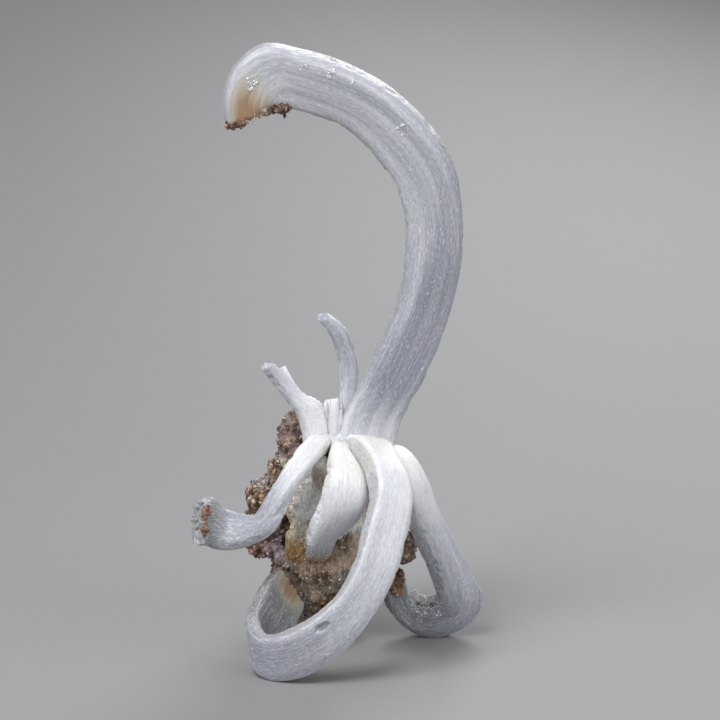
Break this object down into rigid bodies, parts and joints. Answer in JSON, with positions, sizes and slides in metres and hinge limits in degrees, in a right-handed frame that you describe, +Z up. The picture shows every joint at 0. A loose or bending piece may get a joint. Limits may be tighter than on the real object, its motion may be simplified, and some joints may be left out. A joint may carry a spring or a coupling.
{
  "type": "ram's horn selenite specimen",
  "caption": "Ram's horn selenite: curved ribbons of fibrous white gypsum fanning out of one spot on a brown sugary rock, one tall and hooked, two looping down to the ground.",
  "frame": {"origin": "middle of the bounding box's underside, on the ground that the two loops and the rock's foot rest on", "axes": "+Z up, +X to the right as the specimen is shown, +Y towards its back, where the rock is"},
  "size_m": [0.0851, 0.0687, 0.1781],
  "materials": {
    "selenite": "satin",
    "stained_gypsum": "satin",
    "rock": "matte"
  },
  "bodies": {
    "root": {"great_horn": "selenite", "upright_horn": "selenite", "forked_horn": "selenite", "left_curl": "selenite", "middle_horn": "selenite", "front_loop": "selenite", "right_loop": "selenite", "stained_gypsum": "stained_gypsum", "rock": "rock", "great_horn_tip_rock": "rock", "left_curl_tip_rock": "rock"}
  },
  "joints": []
}
